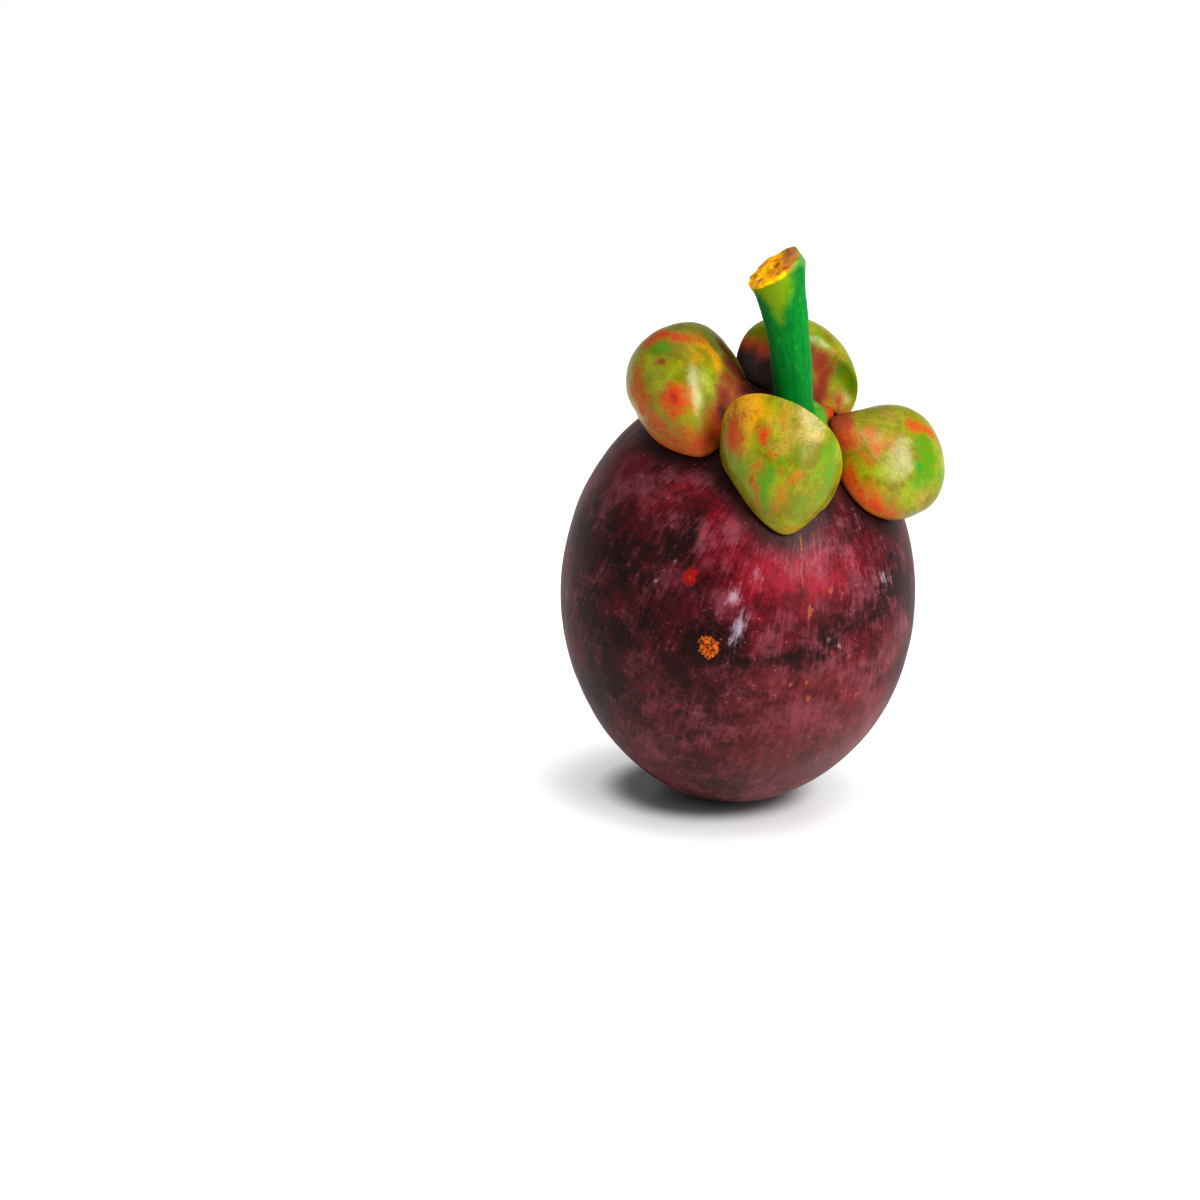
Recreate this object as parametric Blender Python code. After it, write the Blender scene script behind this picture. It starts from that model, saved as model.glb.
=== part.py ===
"""A whole mangosteen, as picked, standing on a small flat spot of its rind.

The fruit leans: the stem end points up, to the right and to the front. Each piece is first shaped in the
fruit's own frame, a round fruit whose +Z runs from the middle out through the stem end. That frame is then
leaned over and drawn out upwards, because this fruit is taller than it is wide as it stands. The world frame
has +Z up and its origin in the middle of the flat spot. Lengths are in metres where no unit is given.
"""

import math

import bmesh
import bpy
from mathutils import Matrix, Vector

# Driving dimensions
FRUIT_WIDTH = 0.058
TALLNESS = 1.207
LEAN_DEG = 30.0
LEAN_TOWARDS_DEG = -60.0
FLAT_SPOT_DEPTH = 0.0005
GAP = 0.0004

RADIUS = FRUIT_WIDTH / 2
STEM_END_FLATNESS = 0.012
STEM_END_SPREAD = 0.35
BLOSSOM_END_FLATNESS = 0.02
BLOSSOM_END_SPREAD = 0.3

# The rosette that the flower's stigma leaves at the blossom end
ROSETTE_LOBES = 7
ROSETTE_RADIUS = 0.0054
ROSETTE_NOTCH = 0.42
ROSETTE_NOTCH_SHARPNESS = 6
ROSETTE_THICKNESS = 0.0006

# The receptacle, a low disc that carries the sepals and the stem
RECEPTACLE_RADIUS = 0.0058
RECEPTACLE_HEIGHT = 0.0026
RECEPTACLE_PROFILE = [
    (0.8, GAP),
    (1.0, GAP + 0.0007),
    (1.0, 0.6 * RECEPTACLE_HEIGHT),
    (0.86, RECEPTACLE_HEIGHT),
]

# Each sepal is a thick leathery cup, hollow side down, that sits on the shoulder of the fruit. It is part of
# an ellipsoid: centred at a reach from the fruit's axis, a height over the stem end and a shift to its left;
# nodding outwards; rolled up on its left; with a length towards and away from the stem, a half-width and a
# height. Its top leans out and to its left, squareness under 1 fills its shoulders, its outer end is drawn in
# to a point that bends to its left, and its face towards the stem is hollowed. It ends at the rim angle,
# counted from its top, or where it meets the rind before that. Where it faces the stem it narrows to a neck
# of that spread, height and share of its width. Lengths are in millimetres, angles in degrees. The hollow
# inside keeps at least its least share of a length where the wall would take up nearly all of it.
SEPAL_WALL = 0.0019
INNER_LEAST = 0.3
SEPALS = {
    "sepal_left": dict(
        azimuth=165, reach=14.5, height=-1.85, left=0.0, nod=22.8, roll=-2.8, inward=6.6, outward=11.5,
        half_width=10.3, rise=9.0, rim_angle=116, top_out=3.3, top_left=-1.0, squareness=1.0, point=0.52,
        bend=0.45, hollow=0.5, neck_spread=18, neck_share=0.42, neck_height=2.4,
    ),
    "sepal_front": dict(
        azimuth=-98.9, reach=7.4, height=1.45, left=-1.5, nod=39.6, roll=1.45, inward=1.5, outward=11.5,
        half_width=9.7, rise=7.6, rim_angle=103, top_out=-4.0, top_left=-1.25, squareness=0.88, point=0.49,
        bend=3.0, hollow=0.5, neck_spread=30, neck_share=1.0, neck_height=2.4,
    ),
    "sepal_right": dict(
        azimuth=4, reach=14.5, height=-0.7, left=-0.8, nod=24, roll=5.2, inward=7.4, outward=8.9,
        half_width=8.1, rise=7.2, rim_angle=114, top_out=3.3, top_left=1.9, squareness=1.0, point=0.38,
        bend=-2.0, hollow=0.3, neck_spread=25, neck_share=0.8, neck_height=3.0,
    ),
    "sepal_back": dict(
        azimuth=84, reach=14.6, height=-1.4, left=0.4, nod=15, roll=5, inward=6.5, outward=8.5,
        half_width=10.2, rise=7.6, rim_angle=112, top_out=0.0, top_left=0.0, squareness=1.0, point=0.3,
        bend=0.0, hollow=6.0, neck_spread=26, neck_share=0.5, neck_height=2.4,
    ),
}
NECK_REACH = 0.0064
NECK_LEVEL = 0.0024
NECK_DOWN_DEG = 88.0
NECK_TALLNESS = 1.2

# How a sepal's outer end is drawn in, and where its face towards the stem is hollowed
TAPER_POWER = 4
HOLLOW_DOWN_DEG = 75.0
HOLLOW_SPREAD_DEG = 30.0

# The stem, bent upright from the leaning stem end: (right, front, up) in millimetres from the middle of the
# receptacle's top, then its radius
STEM_STATIONS_MM = [
    (-0.7, 0.0, 0.3, 3.1),
    (-1.1, 0.4, 2.4, 3.0),
    (-1.55, 1.0, 7.0, 3.05),
    (-2.3, 1.8, 12.0, 3.15),
    (-3.25, 2.6, 16.8, 3.4),
    (-4.05, 3.2, 20.4, 3.75),
    (-4.65, 3.6, 22.9, 4.3),
]

# The cut at the top of the stem rises to the back, and to the right up to its crest, and falls off beyond it
CUT_START = 0.6
CUT_LIFT = 0.0002
CUT_RISE_BACK = 0.04
CUT_RISE = 0.42
CUT_CREST = 0.0031
CUT_FALL = 1.2

# Fineness of the solids
RIND_SEGMENTS = 56
RIND_RINGS = 30
SEPAL_SEGMENTS = 36
OUTER_RINGS = 11
INNER_RINGS = 7
STEM_SIDES = 24
STEM_STEPS = 18
ROSETTE_SIDES = 84
ROSETTE_RINGS = 4

# How the rim of a sepal is searched for: the clearance from the rind, from surely clear of it, by halving
RIM_CLEARANCE = 0.0007
SURELY_CLEAR_DEG = 35.0
HALVINGS = 24

SHARP_EDGE_DEG = 50.0
MM = 0.001


def clear_scene():
    for obj in list(bpy.data.objects):
        bpy.data.objects.remove(obj)


def material(name, colour, roughness):
    made = bpy.data.materials.new(name)
    made.use_nodes = True
    shader = made.node_tree.nodes["Principled BSDF"]
    shader.inputs["Base Color"].default_value = (*colour, 1.0)
    shader.inputs["Roughness"].default_value = roughness
    shader.inputs["Metallic"].default_value = 0.0
    return made


def add_object(name, bm, finish, matrix=Matrix.Identity(4)):
    """The mesh as an object, moved into the world, with its faces turned outwards."""
    bmesh.ops.transform(bm, matrix=matrix, verts=bm.verts)
    bmesh.ops.recalc_face_normals(bm, faces=bm.faces)
    mesh = bpy.data.meshes.new(name)
    bm.to_mesh(mesh)
    bm.free()
    mesh.shade_smooth()
    mesh.set_sharp_from_angle(angle=math.radians(SHARP_EDGE_DEG))
    mesh.materials.append(finish)
    obj = bpy.data.objects.new(name, mesh)
    bpy.context.scene.collection.objects.link(obj)


def add_ring(bm, points):
    return [bm.verts.new(point) for point in points]


def fan(bm, tip, ring):
    """Faces from one point to a ring."""
    for k, vert in enumerate(ring):
        bm.faces.new([tip, vert, ring[(k + 1) % len(ring)]])


def band(bm, near, far):
    """Faces between two rings with as many points."""
    for k in range(len(near)):
        after = (k + 1) % len(near)
        bm.faces.new([near[k], far[k], far[after], near[after]])


def turns(count):
    """Evenly spaced angles once round."""
    return [2 * math.pi * k / count for k in range(count)]


def lean_rotation():
    azimuth = math.radians(LEAN_TOWARDS_DEG)
    hinge = Vector((-math.sin(azimuth), math.cos(azimuth), 0.0))
    return Matrix.Rotation(math.radians(LEAN_DEG), 4, hinge)


def fruit_to_world():
    """The fruit's frame leaned over, drawn out upwards, and lifted onto its flat spot."""
    drawn_out = Matrix.Diagonal((1.0, 1.0, TALLNESS, 1.0))
    lift = Matrix.Translation((0.0, 0.0, RADIUS * TALLNESS - FLAT_SPOT_DEPTH))
    return lift @ drawn_out @ lean_rotation()


def rind_radius(polar):
    """Distance of the rind from the fruit's middle, polar radians from the stem end."""
    stem_end = STEM_END_FLATNESS * math.exp(-((polar / STEM_END_SPREAD) ** 2))
    blossom_end = BLOSSOM_END_FLATNESS * math.exp(-(((math.pi - polar) / BLOSSOM_END_SPREAD) ** 2))
    return RADIUS * (1.0 - stem_end - blossom_end)


def rind_height(reach):
    """Height of the rind over its own stem end, at that reach from the axis."""
    return math.sqrt(max(RADIUS**2 - reach**2, 0.0)) - RADIUS


def make_fruit(to_world, finish):
    """The whole rind as one solid, with the flat spot planed off where it stands.

    Its rings lie level in the world, so that the flat spot has a clean round edge.
    """
    bm = bmesh.new()
    bmesh.ops.create_uvsphere(bm, u_segments=RIND_SEGMENTS, v_segments=RIND_RINGS, radius=1.0)
    upright_to_fruit = lean_rotation().inverted()
    for vert in bm.verts:
        direction = (upright_to_fruit @ vert.co).normalized()
        polar = math.acos(max(-1.0, min(1.0, direction.z)))
        vert.co = to_world @ (direction * rind_radius(polar))
    everything = bm.verts[:] + bm.edges[:] + bm.faces[:]
    cut = bmesh.ops.bisect_plane(
        bm, geom=everything, plane_co=(0, 0, 0), plane_no=(0, 0, -1), clear_outer=True, dist=1e-7
    )
    edge = [item for item in cut["geom_cut"] if isinstance(item, bmesh.types.BMEdge)]
    bmesh.ops.contextual_create(bm, geom=edge)
    add_object("fruit", bm, finish)


def cup_frame(cup):
    """Middle and axes (out, left, up) of a sepal's ellipsoid, in the sepal's frame: +X out from the stem."""
    nod = Matrix.Rotation(math.radians(cup["nod"]), 3, "Y")
    roll = Matrix.Rotation(math.radians(cup["roll"]), 3, "X")
    turn = nod @ roll
    middle = Vector((cup["reach"], cup["left"], cup["height"])) * MM
    return middle, turn.col[0], turn.col[1], turn.col[2]


def powered(value, power):
    return math.copysign(abs(value) ** power, value)


def taper(cup, down, around):
    """Share by which the outer end is drawn in."""
    outwards = (0.5 + 0.5 * math.cos(around)) ** TAPER_POWER
    low = min(1.0, down / math.radians(90)) ** TAPER_POWER
    return cup["point"] * outwards * low


def hollowing(cup, down, around):
    """Depth of the hollow that faces the stem."""
    away = (down - math.radians(HOLLOW_DOWN_DEG)) / math.radians(HOLLOW_SPREAD_DEG)
    return cup["hollow"] * MM * max(0.0, -math.cos(around)) * math.exp(-(away**2))


def cup_point(cup, frame, down, around, inset):
    """Point of a sepal, so far inside its skin, at angles down from its top and around from its outer end."""
    middle, out, left, up = frame
    wide = powered(math.sin(down), cup["squareness"])
    high = powered(math.cos(down), cup["squareness"])
    length = cup["outward"] if math.cos(around) > 0 else cup["inward"]
    outwards = max(0.0, wide * math.cos(around))
    scale = 1 - inset / (cup["rise"] * MM)
    x = max(length * MM - inset, INNER_LEAST * length * MM) * wide * math.cos(around)
    x += cup["top_out"] * MM * high * scale + hollowing(cup, down, around)
    y = (cup["half_width"] * MM - inset) * wide * math.sin(around) * (1 - taper(cup, down, around))
    y += cup["top_left"] * MM * high * scale + cup["bend"] * MM * outwards**2
    z = (cup["rise"] * MM - inset) * high
    return middle + out * x + left * y + up * z


def over_rind(point):
    """Height of a point in a sepal's frame over the rind."""
    return point.z - rind_height(math.hypot(point.x, point.y))


def rim_angle(cup, frame, around, inset):
    """Angle down from the top at which the sepal ends: its own rim, or where it meets the rind."""
    low = math.radians(cup["rim_angle"])
    if over_rind(cup_point(cup, frame, low, around, inset)) > RIM_CLEARANCE:
        return low
    high = math.radians(SURELY_CLEAR_DEG)
    for _ in range(HALVINGS):
        middle = (high + low) / 2
        if over_rind(cup_point(cup, frame, middle, around, inset)) > RIM_CLEARANCE:
            high = middle
        else:
            low = middle
    return high


def with_neck(cup, point, down, around):
    """A point of the outer skin, drawn towards the receptacle where it faces it."""
    spread = math.radians(cup["neck_spread"])
    kept = cup["neck_share"]
    away = abs(math.remainder(around - math.pi, 2 * math.pi)) / spread
    above = (down - math.radians(NECK_DOWN_DEG)) / (NECK_TALLNESS * spread)
    end_z = cup["neck_height"] * MM + kept * (point.z - NECK_LEVEL)
    end = Vector((NECK_REACH, kept * point.y, end_z))
    return point.lerp(end, math.exp(-away * away - above * above))


def sepal_skin(bm, cup, inset, count, necked):
    """One skin of a cup, from its top down; returns the ring at its rim."""
    frame = cup_frame(cup)
    rows = []
    for i in range(1, count + 1):
        points = []
        for around in turns(SEPAL_SEGMENTS):
            down = rim_angle(cup, frame, around, inset) * i / count
            point = cup_point(cup, frame, down, around, inset)
            points.append(with_neck(cup, point, down, around) if necked else point)
        rows.append(add_ring(bm, points))
    top = bm.verts.new(cup_point(cup, frame, 0.0, 0.0, inset))
    fan(bm, top, rows[0])
    for near, far in zip(rows, rows[1:]):
        band(bm, near, far)
    return rows[-1]


def make_sepal(name, to_world, finish):
    """One closed cup: outer skin, inner skin and the rim between them."""
    cup = SEPALS[name]
    bm = bmesh.new()
    outer_rim = sepal_skin(bm, cup, 0.0, OUTER_RINGS, True)
    inner_rim = sepal_skin(bm, cup, SEPAL_WALL, INNER_RINGS, False)
    band(bm, outer_rim, inner_rim)
    stem_end = Matrix.Translation((0.0, 0.0, rind_radius(0.0)))
    turned = Matrix.Rotation(math.radians(cup["azimuth"]), 4, "Z")
    add_object(name, bm, finish, to_world @ stem_end @ turned)


def spline(values, at):
    """Catmull-Rom value of a list of numbers at a position from 0 to 1."""
    place = at * (len(values) - 1)
    i = min(int(place), len(values) - 2)
    t = place - i
    p1, p2 = values[i], values[i + 1]
    p0 = values[i - 1] if i else 2 * p1 - p2
    p3 = values[i + 2] if i + 2 < len(values) else 2 * p2 - p1
    return p1 + 0.5 * t * (p2 - p0 + t * (2 * p0 - 5 * p1 + 4 * p2 - p3 + t * (3 * (p1 - p2) + p3 - p0)))


def stem_column(k, at):
    """One column of the stem's stations, in metres, at a share of its length."""
    return spline([station[k] * MM for station in STEM_STATIONS_MM], at)


def stem_centre(to_world, at):
    foot = to_world @ Vector((0.0, 0.0, rind_radius(0.0) + RECEPTACLE_HEIGHT))
    return foot + Vector((stem_column(0, at), -stem_column(1, at), stem_column(2, at)))


def cut_rise(x, y):
    """Height of the cut over its middle."""
    past_crest = max(0.0, x - CUT_CREST)
    return CUT_LIFT + CUT_RISE * (x - past_crest) - CUT_FALL * past_crest + CUT_RISE_BACK * y


def stem_ring(to_world, at):
    """Ring of the stem, tipped more and more towards the end until the last one lies in the cut."""
    centre = stem_centre(to_world, at)
    radius = stem_column(3, at)
    step = 0.02
    along = stem_centre(to_world, min(at + step, 1.0)) - stem_centre(to_world, max(at - step, 0.0))
    fruit_axis = (to_world.to_3x3() @ Vector((0, 0, 1))).normalized()
    along = fruit_axis.lerp(along.normalized(), min(1.0, at * 4)).normalized()
    right = (Vector((1, 0, 0)) - along * along.x).normalized()
    back = along.cross(right)
    tipped = max(0.0, (at - CUT_START) / (1 - CUT_START)) ** 2
    ring = []
    for a in turns(STEM_SIDES):
        offset = right * (radius * math.cos(a)) + back * (radius * math.sin(a))
        offset.z += tipped * cut_rise(offset.x, offset.y)
        ring.append(centre + offset)
    return ring


def receptacle_ring(to_world, share, height):
    radius = share * RECEPTACLE_RADIUS
    base = rind_radius(0.0) + height
    return [to_world @ Vector((radius * math.cos(a), radius * math.sin(a), base)) for a in turns(STEM_SIDES)]


def make_stem(to_world, finish):
    """Receptacle and stem, one woody piece: a low disc, then a shaft bent upright and cut off aslant."""
    bm = bmesh.new()
    rings = [receptacle_ring(to_world, share, height) for share, height in RECEPTACLE_PROFILE]
    rings += [stem_ring(to_world, i / STEM_STEPS) for i in range(STEM_STEPS + 1)]
    made = [add_ring(bm, ring) for ring in rings]
    for near, far in zip(made, made[1:]):
        band(bm, near, far)
    bm.faces.new(made[0])
    bm.faces.new(made[-1])
    add_object("stem", bm, finish)


def rosette_reach(a):
    """Reach of the rosette's outline, between its lobes and notches."""
    notch = abs(math.cos(ROSETTE_LOBES * a / 2)) ** ROSETTE_NOTCH_SHARPNESS
    return ROSETTE_RADIUS * (1 - ROSETTE_NOTCH * notch)


def rosette_point(a, share, lift):
    polar = math.pi - rosette_reach(a) * share / RADIUS
    distance = rind_radius(polar) + lift
    flat = distance * math.sin(polar)
    return Vector((flat * math.cos(a), flat * math.sin(a), distance * math.cos(polar)))


def rosette_layer(bm, lift):
    """One face of the rosette; returns its outline."""
    rows = []
    for i in range(1, ROSETTE_RINGS + 1):
        rows.append(add_ring(bm, [rosette_point(a, i / ROSETTE_RINGS, lift) for a in turns(ROSETTE_SIDES)]))
    fan(bm, bm.verts.new(rosette_point(0.0, 0.0, lift)), rows[0])
    for near, far in zip(rows, rows[1:]):
        band(bm, near, far)
    return rows[-1]


def make_rosette(to_world, finish):
    """The dry stigma at the blossom end, a thin plate of rounded lobes that follows the rind."""
    bm = bmesh.new()
    low = rosette_layer(bm, GAP)
    high = rosette_layer(bm, GAP + ROSETTE_THICKNESS)
    band(bm, low, high)
    add_object("stigma_rosette", bm, finish, to_world)


def main():
    clear_scene()
    to_world = fruit_to_world()
    make_fruit(to_world, material("rind", (0.10, 0.012, 0.025), 0.42))
    green = material("sepal", (0.33, 0.36, 0.06), 0.38)
    for name in SEPALS:
        make_sepal(name, to_world, green)
    make_stem(to_world, material("stem", (0.03, 0.28, 0.07), 0.4))
    make_rosette(to_world, material("rosette", (0.12, 0.06, 0.03), 0.7))


main()
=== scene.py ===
from math import cos, pi, radians, sin, sqrt

import bpy
import numpy as np
from mathutils import Matrix, Vector, noise
from mathutils.kdtree import KDTree


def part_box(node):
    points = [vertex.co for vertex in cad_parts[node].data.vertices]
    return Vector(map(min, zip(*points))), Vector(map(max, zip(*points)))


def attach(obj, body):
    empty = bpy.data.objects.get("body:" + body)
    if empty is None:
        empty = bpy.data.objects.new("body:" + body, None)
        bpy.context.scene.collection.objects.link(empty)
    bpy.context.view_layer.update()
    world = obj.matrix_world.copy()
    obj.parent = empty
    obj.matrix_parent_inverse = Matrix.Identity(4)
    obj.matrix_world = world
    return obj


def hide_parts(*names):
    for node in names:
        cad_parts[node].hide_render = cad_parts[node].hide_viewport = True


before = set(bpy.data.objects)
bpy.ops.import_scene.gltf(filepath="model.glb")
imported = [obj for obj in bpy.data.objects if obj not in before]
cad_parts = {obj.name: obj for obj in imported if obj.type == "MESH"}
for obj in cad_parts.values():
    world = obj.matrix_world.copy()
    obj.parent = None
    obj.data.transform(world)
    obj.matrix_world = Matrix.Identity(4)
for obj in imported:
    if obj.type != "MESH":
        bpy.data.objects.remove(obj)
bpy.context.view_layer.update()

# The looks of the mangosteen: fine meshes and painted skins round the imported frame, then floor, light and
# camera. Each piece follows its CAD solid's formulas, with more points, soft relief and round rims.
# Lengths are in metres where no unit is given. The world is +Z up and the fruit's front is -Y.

MM = 0.001

# The fruit, as in the CAD model
fruit_low, fruit_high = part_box("fruit")
RADIUS = (fruit_high.x - fruit_low.x) / 2
TALLNESS = 1.207
LEAN_DEG = 30.0
LEAN_TOWARDS_DEG = -60.0
FLAT_SPOT_DEPTH = 0.0005
GAP = 0.0004
STEM_END_FLATNESS = 0.012
STEM_END_SPREAD = 0.35
BLOSSOM_END_FLATNESS = 0.02
BLOSSOM_END_SPREAD = 0.3
MIDDLE = np.array((0.0, 0.0, RADIUS * TALLNESS - FLAT_SPOT_DEPTH))

# The sepals, as in the CAD model: cups that are part of an ellipsoid, in degrees and millimetres
SEPALS = {
    "sepal_left": dict(
        azimuth=165, reach=14.5, height=-1.85, left=0.0, nod=22.8, roll=-2.8, inward=6.6, outward=11.5,
        half_width=10.3, rise=9.0, rim_angle=116, top_out=3.3, top_left=-1.0, squareness=1.0, point=0.52,
        bend=0.45, hollow=0.5, neck_spread=18, neck_reach=5.4, neck_share=0.42, neck_height=2.4,
    ),
    "sepal_front": dict(
        azimuth=-98.9, reach=7.4, height=1.45, left=-1.5, nod=39.6, roll=1.45, inward=1.5, outward=11.5,
        half_width=9.7, rise=7.6, rim_angle=103, top_out=-4.0, top_left=-1.25, squareness=0.88, point=0.49,
        bend=3.0, hollow=0.5, neck_spread=30, neck_reach=5.4, neck_share=1.0, neck_height=2.4,
    ),
    "sepal_right": dict(
        azimuth=4, reach=14.5, height=-0.7, left=-0.8, nod=24, roll=5.2, inward=7.4, outward=8.9,
        half_width=8.1, rise=7.2, rim_angle=114, top_out=3.3, top_left=1.9, squareness=1.0, point=0.38,
        bend=-2.0, hollow=0.3, neck_spread=25, neck_reach=4.6, neck_share=0.8, neck_height=3.0,
    ),
    "sepal_back": dict(
        azimuth=84, reach=14.6, height=-1.4, left=0.4, nod=15, roll=5, inward=6.5, outward=8.5,
        half_width=10.2, rise=7.6, rim_angle=112, top_out=0.0, top_left=0.0, squareness=1.0, point=0.3,
        bend=0.0, hollow=6.0, neck_spread=26, neck_reach=5.4, neck_share=0.5, neck_height=2.4,
    ),
}

# What all sepals share: the wall, the least length of the inner skin against the outer one, how sharply
# they narrow to the outer end, and where the hollow on the stem side is
SEPAL_WALL = 0.0019
INNER_LEAST = 0.3
TAPER_POWER = 4
HOLLOW_DOWN_DEG = 75
HOLLOW_SPREAD_DEG = 30

# The neck, where the skin that faces the receptacle is drawn onto it and keeps a share of its shape
NECK_DOWN_DEG = 88
NECK_TALLNESS = 1.2
NECK_LEVEL = 0.0024

# The rim: the skins stop short of it by an angle. Where one meets the rind is found by halving.
RIM_TURN_DEG = 5.5
RIM_ROUNDNESS = 0.9
RIM_SEARCH_FROM_DEG = 35
RIM_SEARCH_STEPS = 24

# The receptacle and the stem, as in the CAD model: the first's outline in shares of its radius and height,
# and the second's (right, front, up, radius) in millimetres
RECEPTACLE_RADIUS = 0.0058
RECEPTACLE_HEIGHT = 0.0026
RECEPTACLE_WAVE = 0.05
RECEPTACLE_OUTLINE = [
    (0.66, 1.06), (0.8, 1.03), (0.9, 0.98), (0.97, 0.85), (1, 0.66), (1, 0.45), (0.94, 0.25), (0.8, 0.16),
]
STEM_STATIONS_MM = [
    (-0.7, 0.0, 0.3, 3.1), (-1.1, 0.4, 2.4, 3.0), (-1.55, 1.0, 7.0, 3.05), (-2.3, 1.8, 12.0, 3.15),
    (-3.25, 2.6, 16.8, 3.4), (-4.05, 3.2, 20.4, 3.75), (-4.65, 3.6, 22.9, 4.3),
]

# Lumps on the receptacle between the sepals: turn in radians, height in millimetres
LUMPS = [(0.52, 1.1), (2.2, 0.5), (3.9, 0.4)]
LUMP_WIDTH = 0.2
LUMP_OUTWARD = 0.6
LUMP_ONSET = 1.4

# The shaft starts along the fruit's axis and soon bends into its own line. It carries low ridges: (count,
# height as a share of the radius, phase, twist).
SHAFT_BENT = 0.25
SLOPE_STEP = 0.02
SHAFT_RIDGES = [(3, 0.025, 0.7, 0.0), (5, 0.02, -1.1, 2.0)]

# From TIP_START on, the rings tip over until the last one lies in the cut. That rises to the back, and to
# the right up to its crest, and falls off beyond it.
TIP_START = 0.6
CUT_LIFT = 0.0002
CUT_RISE_BACK = 0.04
CUT_RISE = 0.42
CUT_CREST = 0.0031
CUT_FALL = 1.2
CUT_REACH = 0.985

# The rosette that the stigma leaves, as in the CAD model
ROSETTE_LOBES = 7
ROSETTE_RADIUS = 0.0054
ROSETTE_NOTCH = 0.42
ROSETTE_NOTCH_POWER = 6
ROSETTE_THICKNESS = 0.0006
ROSETTE_CROWN = 0.35
ROSETTE_RIM_BULGE = 0.05

# Fineness of the meshes: cells, points round a ring, and rows of rings
RIND_CELLS = 118
SEPAL_SEGMENTS = 168
SEPAL_ROWS = (96, 10, 36)
STEM_SEGMENTS = 112
STEM_ROWS = 130
CUT_ROWS = 26
ROSETTE_SEGMENTS = 210
ROSETTE_ROWS = (20, 6)

# Relief that the CAD leaves out, in layers of noise: (depth in millimetres, size of its lumps, seed)
RIND_RELIEF = [(0.25, 0.021, 1), (0.09, 0.0075, 2), (0.03, 0.0024, 3)]
CRUST_RELIEF = [(0.3, 0.0009, 4)]
CRUST_HEIGHT_MM = 0.22
SEPAL_RELIEF = [(0.16, 0.0052, 5), (0.05, 0.0017, 6)]
STEM_RELIEF = [(0.1, 0.004, 7)]
CUT_RELIEF = [(0.75, 0.0026, 8), (0.3, 0.001, 9)]
DISC_RELIEF = [(0.3, 0.003, 10)]
ROSETTE_RELIEF = [(0.06, 0.0011, 11)]

# Streaks of paint: the radius that they lie round, and their fineness along a piece against across it
SEPAL_GRAIN_RADIUS = 0.008
STEM_GRAIN_RADIUS = 0.003
GRAIN_ALONG = 0.2
STEM_GRAIN_ALONG = 0.12

# Brightness of the surroundings, and where it changes from near to far and from the sides to overhead
NEAR_SIDE = 0.07
FAR_SIDE = 1.0
OVERHEAD = 0.3
FAR_SPAN = (-0.1, 0.45)
OVERHEAD_SPAN = (0.2, 0.6)

# The lights: place, width, height and power in watts
SOFTBOXES = {
    "key": ((0.29, -0.32, 0.29), 0.22, 0.38, 3.5),
    "fill": ((-0.34, -0.20, 0.22), 0.4, 0.4, 0.45),
    "overhead": ((0.0, 0.10, 0.70), 0.7, 0.7, 1.0),
}

# The floor glows outside an oval that is off to the left, so that the grey oval is a painted shadow
# round the fruit: (from, to) and strength of each step
FLOOR_HALF_WIDTH = 2.0
FLOOR_GREY = 0.3
GLOW_SHIFT = (0.0045, 0.0, 0.0)
GLOW_SCALE = (0.806, 1.0, 0.0)
GLOW_STEPS = [((0.010, 0.016), 0.5), ((0.014, 0.028), 0.35)]

# Contrast of the picture: below 1 the middle tones are deeper and the colours stronger
PRINT_GAMMA = 0.75

CAMERA_ELEVATION_DEG = 18.0
CAMERA_DISTANCE = 0.300
CAMERA_LEFT_OF_FRUIT = 0.02255
CAMERA_LENS = 54.6
CAMERA_BELOW_MIDDLE = 0.00115


# ---- shapes

def unit(vectors):
    return vectors / np.linalg.norm(vectors, axis=-1, keepdims=True)


def bell(distance, width):
    """1 at a distance of 0, falling to 0.37 at the width."""
    return np.exp(-((distance / width) ** 2))


def ramp(values, start, end):
    """0 up to the start, then evenly up to 1 at the end and beyond."""
    return np.clip((values - start) / (end - start), 0.0, 1.0)


def lean_matrix():
    azimuth = radians(LEAN_TOWARDS_DEG)
    hinge = Vector((-sin(azimuth), cos(azimuth), 0.0))
    return np.array(Matrix.Rotation(radians(LEAN_DEG), 3, hinge))


LEAN = lean_matrix()
DRAWN_OUT = np.array((1.0, 1.0, TALLNESS))


def to_world(points):
    """Points in the fruit's frame, whose +Z runs out through the stem end, as points in the world."""
    return points @ LEAN.T * DRAWN_OUT + MIDDLE


def rind_distance(polar):
    """Distance of the rind from the fruit's middle, polar radians from the stem end."""
    stem_end = STEM_END_FLATNESS * bell(polar, STEM_END_SPREAD)
    blossom_end = BLOSSOM_END_FLATNESS * bell(pi - polar, BLOSSOM_END_SPREAD)
    return RADIUS * (1.0 - stem_end - blossom_end)


STEM_END = rind_distance(0.0)


def bumps(points, size, seed):
    """Smooth noise from about -1 to 1, with lumps of that size."""
    shift = Vector((17.3, -9.1, 4.7)) * seed
    return np.array([noise.noise(Vector(p) / size + shift) for p in points.reshape(-1, 3)])


def relief_mm(points, layers):
    """Height of the relief at each point, in millimetres."""
    return sum(depth * bumps(points, size, seed) for depth, size, seed in layers)


def add_object(name, data):
    made = bpy.data.objects.new(name, data)
    bpy.context.scene.collection.objects.link(made)
    return made


def make_surface(name, points, faces, finish):
    mesh = bpy.data.meshes.new(name)
    mesh.from_pydata(points, [], faces)
    mesh.materials.append(finish)
    return add_object(name, mesh)


def make_piece(name, points, faces, finish, node, slot):
    """A smooth surface that rides on the body and stands for its CAD node."""
    piece = make_surface(name, points.tolist(), faces, finish)
    piece.data.shade_smooth()
    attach(piece, "root")
    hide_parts(node)
    return piece


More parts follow.
